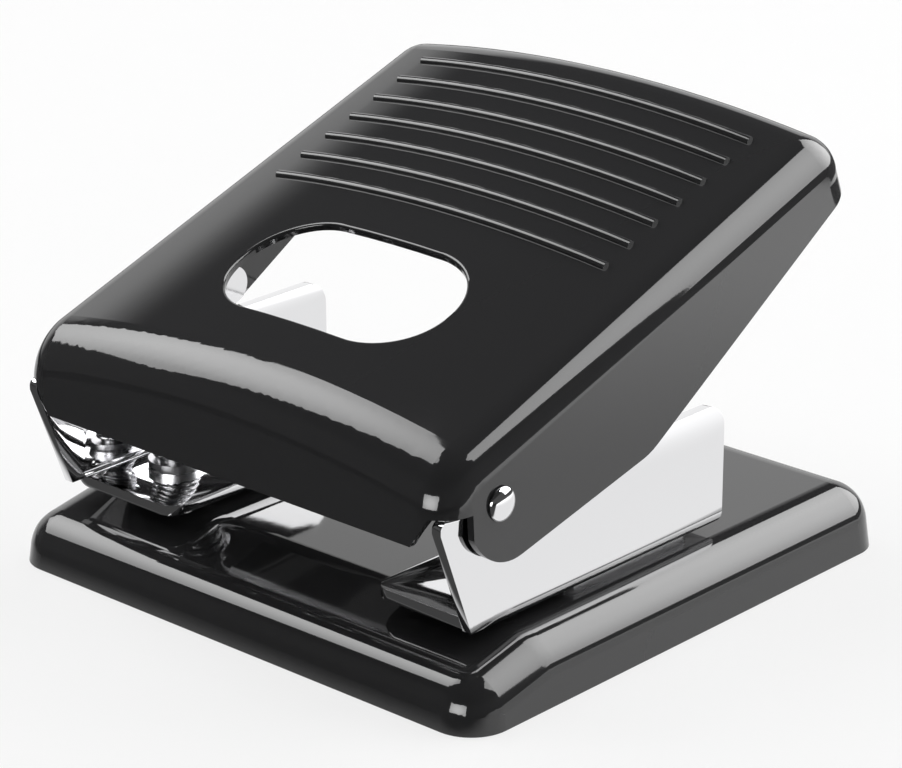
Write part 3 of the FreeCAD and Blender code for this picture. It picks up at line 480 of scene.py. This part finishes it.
LAMPS = (
    # name, heading from the right towards the back and rise above the level in degrees,
    # distance, width, height, radiance of the lamp, radiance of its face in gloss and metal
    ("softbox_left", -163, 49, 1.1, 0.79, 0.90, 4.2, 6.0),
    ("softbox_right", 63, 37, 1.0, 1.16, 1.12, 3.6, 6.2),
    ("window_front", -80, 9, 1.2, 0.85, 0.45, 0.8, 8.0),
)

# Each ramp eases from its third value to its fourth, between its first two readings.
FACE_EDGE = 0.6                        # brightness of a softbox's edge against its middle
FACE_RAMP = (0.2, 1.4)                 # distance from the middle, in half widths
WORLD_LOW = (0.40, 0.52, 1, 0)         # by height of the direction
WORLD_REAR = (0.6, 0.85, 0.05, 1)      # by how far the direction points to REAR
REAR = 140                             # heading of the white side of the world
# The floor that gloss and metal show is painted light and shade: the first ramp paints shade in
# front of the object, the second paints light towards the right, the third paints it dark a
# short way out.
FLOOR_FRONT_SHADE = (-0.068, -0.054, 0.06, 0.97)   # by place along Y
FLOOR_RIGHT_LIGHT = (0.13, 0.30, 1, 1.8)     # by place along BRIGHT
FLOOR_FAR_DARK = (0.36, 0.38, 1, 0.05)      # by distance from the origin
BRIGHT = 32                            # heading in which the painted light in the floor's reflection gets brighter
FLOOR_LIFT = 0.78                      # share of white that the camera sees in the floor


def heading(turn, rise):
    """Unit vector for a heading and a height in degrees."""
    turn, rise = math.radians(turn), math.radians(rise)
    return Vector((math.cos(turn) * math.cos(rise), math.sin(turn) * math.cos(rise),
                   math.sin(rise)))


def flat_face(name, corners):
    """Flat face through its corners."""
    mesh = bpy.data.meshes.new(name)
    mesh.from_pydata(corners.tolist(), [], [list(range(len(corners)))])
    made = bpy.data.objects.new(name, mesh)
    bpy.context.scene.collection.objects.link(made)
    return made


def face_paint(name, width, height, shine):
    """Face of a softbox: clear except in gloss and metal, and brighter at its middle."""
    made = bpy.data.materials.new(name)
    made.use_nodes = True
    nodes, links = made.node_tree.nodes, made.node_tree.links
    place = nodes.new("ShaderNodeTexCoord")
    share = nodes.new("ShaderNodeVectorMath")
    share.operation = "MULTIPLY"
    share.inputs[1].default_value = (2 / width, 2 / height, 0)
    out = nodes.new("ShaderNodeVectorMath")
    out.operation = "LENGTH"
    fall = eased(nodes, *FACE_RAMP, shine, shine * FACE_EDGE)
    glow = nodes.new("ShaderNodeEmission")
    clear = nodes.new("ShaderNodeBsdfTransparent")
    path = nodes.new("ShaderNodeLightPath")
    either = nodes.new("ShaderNodeMixShader")
    links.new(place.outputs["Object"], share.inputs[0])
    links.new(share.outputs[0], out.inputs[0])
    links.new(out.outputs["Value"], fall.inputs["Value"])
    links.new(fall.outputs["Result"], glow.inputs["Strength"])
    links.new(path.outputs["Is Glossy Ray"], either.inputs[0])
    links.new(clear.outputs[0], either.inputs[1])
    links.new(glow.outputs[0], either.inputs[2])
    links.new(either.outputs[0], nodes["Material Output"].inputs["Surface"])
    return made


def softbox(name, turn, rise, distance, width, height, radiance, shine):
    """Area lamp that faces the object, whose power follows from its size and radiance, and
    the lit face that gloss and metal show."""
    lamp = bpy.data.lights.new(name, "AREA")
    lamp.shape = "RECTANGLE"
    lamp.size = width
    lamp.size_y = height
    lamp.energy = radiance * math.pi * width * height
    made = bpy.data.objects.new(name, lamp)
    bpy.context.scene.collection.objects.link(made)
    made.visible_glossy = False
    corners = np.array([[-1, -1, 0], [1, -1, 0], [1, 1, 0], [-1, 1, 0]])
    corners = corners * [width / 2, height / 2, 0]
    face = flat_face(name + "_face", corners)
    face.data.materials.append(face_paint(name + "_face", width, height, shine))
    away = heading(turn, rise)
    for one in (made, face):
        one.location = away * distance
        one.rotation_euler = away.to_track_quat("Z", "Y").to_euler()
    return face


def eased(nodes, start, stop, low, high):
    """Map Range node that eases from low to high between two readings."""
    fall = nodes.new("ShaderNodeMapRange")
    fall.interpolation_type = "SMOOTHSTEP"
    fall.inputs["From Min"].default_value = start
    fall.inputs["From Max"].default_value = stop
    fall.inputs["To Min"].default_value = low
    fall.inputs["To Max"].default_value = high
    return fall


def studio_world(ceiling):
    """World that is white to the camera; to everything else it is white low down behind the
    object and falls to a dark grey overhead."""
    world = bpy.data.worlds.new("studio")
    world.use_nodes = True
    nodes, links = world.node_tree.nodes, world.node_tree.links
    place = nodes.new("ShaderNodeTexCoord")
    parts = nodes.new("ShaderNodeSeparateXYZ")
    low = eased(nodes, *WORLD_LOW)
    behind = nodes.new("ShaderNodeVectorMath")
    behind.operation = "DOT_PRODUCT"
    behind.inputs[1].default_value = heading(REAR, 0)
    rear = eased(nodes, *WORLD_REAR)
    glow = nodes.new("ShaderNodeMath")
    glow.operation = "MULTIPLY_ADD"
    glow.inputs[2].default_value = ceiling
    links.new(place.outputs["Generated"], parts.inputs[0])
    links.new(place.outputs["Generated"], behind.inputs[0])
    links.new(parts.outputs["Z"], low.inputs["Value"])
    links.new(behind.outputs["Value"], rear.inputs["Value"])
    links.new(low.outputs["Result"], glow.inputs[0])
    links.new(rear.outputs["Result"], glow.inputs[1])
    path = nodes.new("ShaderNodeLightPath")
    seen = nodes.new("ShaderNodeMath")
    seen.operation = "MAXIMUM"
    links.new(path.outputs["Is Camera Ray"], seen.inputs[0])
    links.new(glow.outputs[0], seen.inputs[1])
    links.new(seen.outputs[0], nodes["Background"].inputs["Color"])
    bpy.context.scene.world = world


def disc(radius, count=96):
    """Round floor: a fan of points at one radius round the origin."""
    turn = np.linspace(0, 2 * np.pi, count, endpoint=False)
    rim = np.stack([np.cos(turn), np.sin(turn), np.zeros(count)], axis=1) * radius
    return flat_face("floor", rim)


def floor_paint(colour):
    """Pale matt floor, lifted to white for the camera; in gloss and metal it is an emission with
    painted light to the right, painted shade in front, and painted dark a short way out."""
    made = bpy.data.materials.new("floor")
    made.use_nodes = True
    nodes, links = made.node_tree.nodes, made.node_tree.links
    skin = nodes["Principled BSDF"]
    skin.inputs["Base Color"].default_value = (*colour, 1)
    skin.inputs["Roughness"].default_value = 0.9
    skin.inputs["Specular IOR Level"].default_value = 0
    path = nodes.new("ShaderNodeLightPath")
    lift = nodes.new("ShaderNodeMath")
    lift.operation = "MULTIPLY"
    lift.inputs[1].default_value = FLOOR_LIFT
    white = nodes.new("ShaderNodeEmission")
    seen = nodes.new("ShaderNodeMixShader")
    links.new(path.outputs["Is Camera Ray"], lift.inputs[0])
    links.new(lift.outputs[0], seen.inputs[0])
    links.new(skin.outputs[0], seen.inputs[1])
    links.new(white.outputs[0], seen.inputs[2])
    place = nodes.new("ShaderNodeTexCoord")
    axes = nodes.new("ShaderNodeSeparateXYZ")
    across = nodes.new("ShaderNodeVectorMath")
    across.operation = "DOT_PRODUCT"
    across.inputs[1].default_value = heading(BRIGHT, 0)
    near = eased(nodes, *FLOOR_FRONT_SHADE)
    far = eased(nodes, *FLOOR_RIGHT_LIGHT)
    reach = nodes.new("ShaderNodeVectorMath")
    reach.operation = "LENGTH"
    edge = eased(nodes, *FLOOR_FAR_DARK)
    side = nodes.new("ShaderNodeMath")
    side.operation = "MULTIPLY"
    spread = nodes.new("ShaderNodeMath")
    spread.operation = "MULTIPLY"
    links.new(place.outputs["Object"], across.inputs[0])
    links.new(place.outputs["Object"], axes.inputs[0])
    links.new(axes.outputs["Y"], near.inputs["Value"])
    links.new(across.outputs["Value"], far.inputs["Value"])
    links.new(place.outputs["Object"], reach.inputs[0])
    links.new(reach.outputs["Value"], edge.inputs["Value"])
    links.new(near.outputs["Result"], side.inputs[0])
    links.new(far.outputs["Result"], side.inputs[1])
    links.new(side.outputs[0], spread.inputs[0])
    links.new(edge.outputs["Result"], spread.inputs[1])
    # Emission that gloss and metal see in place of the floor: a painted reflection whose painted
    # light and shade come from the masks above, not from the lamps.
    painted_reflection = nodes.new("ShaderNodeEmission")
    links.new(spread.outputs[0], painted_reflection.inputs["Strength"])
    either = nodes.new("ShaderNodeMixShader")
    links.new(path.outputs["Is Glossy Ray"], either.inputs[0])
    links.new(seen.outputs[0], either.inputs[1])
    links.new(painted_reflection.outputs[0], either.inputs[2])
    links.new(either.outputs[0], nodes["Material Output"].inputs["Surface"])
    return made


class PUNCH_OT_studio(Operator):
    """Floor, soft lamps, pale surround and the camera"""
    bl_idname = "punch.studio"
    bl_label = "Studio"

    def execute(self, context):
        studio = context.scene.punch_studio
        floor = disc(studio.floor_radius)
        floor.data.materials.append(floor_paint(finishes().floor))
        faces = [softbox(*row) for row in LAMPS]
        studio_world(studio.ceiling)
        lens = bpy.data.cameras.new("camera")
        lens.lens = studio.lens
        lens.clip_start = 0.01
        camera = bpy.data.objects.new("camera", lens)
        level = math.cos(studio.elevation)
        away = Vector((math.sin(studio.azimuth) * level, -math.cos(studio.azimuth) * level,
                       math.sin(studio.elevation)))
        camera.location = Vector(studio.target) + away * studio.distance
        camera.rotation_euler = away.to_track_quat("Z", "Y").to_euler()
        context.scene.collection.objects.link(camera)
        context.scene.camera = camera
        context.scene.view_settings.view_transform = "Standard"
        return {"FINISHED"}


class PUNCH_PT_sidebar(Panel):
    """Lists the finishes, the rivets, the springs and the studio"""
    bl_label = "Hole Punch"
    bl_idname = "PUNCH_PT_sidebar"
    bl_space_type = "VIEW_3D"
    bl_region_type = "UI"
    bl_category = "Hole Punch"

    def draw(self, context):
        for group in (context.scene.punch_finish, context.scene.punch_rivets,
                      context.scene.punch_springs, context.scene.punch_studio):
            box = self.layout.box()
            for key in group.__annotations__:
                box.prop(group, key)
        for operator in OPERATORS:
            self.layout.operator(operator.bl_idname)


OPERATORS = (PUNCH_OT_enamel, PUNCH_OT_plate, PUNCH_OT_steel, PUNCH_OT_plastic,
             PUNCH_OT_bracket_edges, PUNCH_OT_pivot_rivets, PUNCH_OT_springs, PUNCH_OT_studio)
CLASSES = (PunchFinish, PunchRivets, PunchSprings, PunchStudio, *OPERATORS, PUNCH_PT_sidebar)


def register():
    for one in CLASSES:
        bpy.utils.register_class(one)
    bpy.types.Scene.punch_finish = PointerProperty(type=PunchFinish)
    bpy.types.Scene.punch_rivets = PointerProperty(type=PunchRivets)
    bpy.types.Scene.punch_springs = PointerProperty(type=PunchSprings)
    bpy.types.Scene.punch_studio = PointerProperty(type=PunchStudio)


def unregister():
    del bpy.types.Scene.punch_studio
    del bpy.types.Scene.punch_springs
    del bpy.types.Scene.punch_rivets
    del bpy.types.Scene.punch_finish
    for one in reversed(CLASSES):
        bpy.utils.unregister_class(one)


def main():
    register()
    bpy.ops.punch.enamel()
    bpy.ops.punch.plate()
    bpy.ops.punch.steel()
    bpy.ops.punch.plastic()
    bpy.ops.punch.bracket_edges()
    bpy.ops.punch.pivot_rivets()
    bpy.ops.punch.springs()
    bpy.ops.punch.studio()


if __name__ == "__main__":
    main()
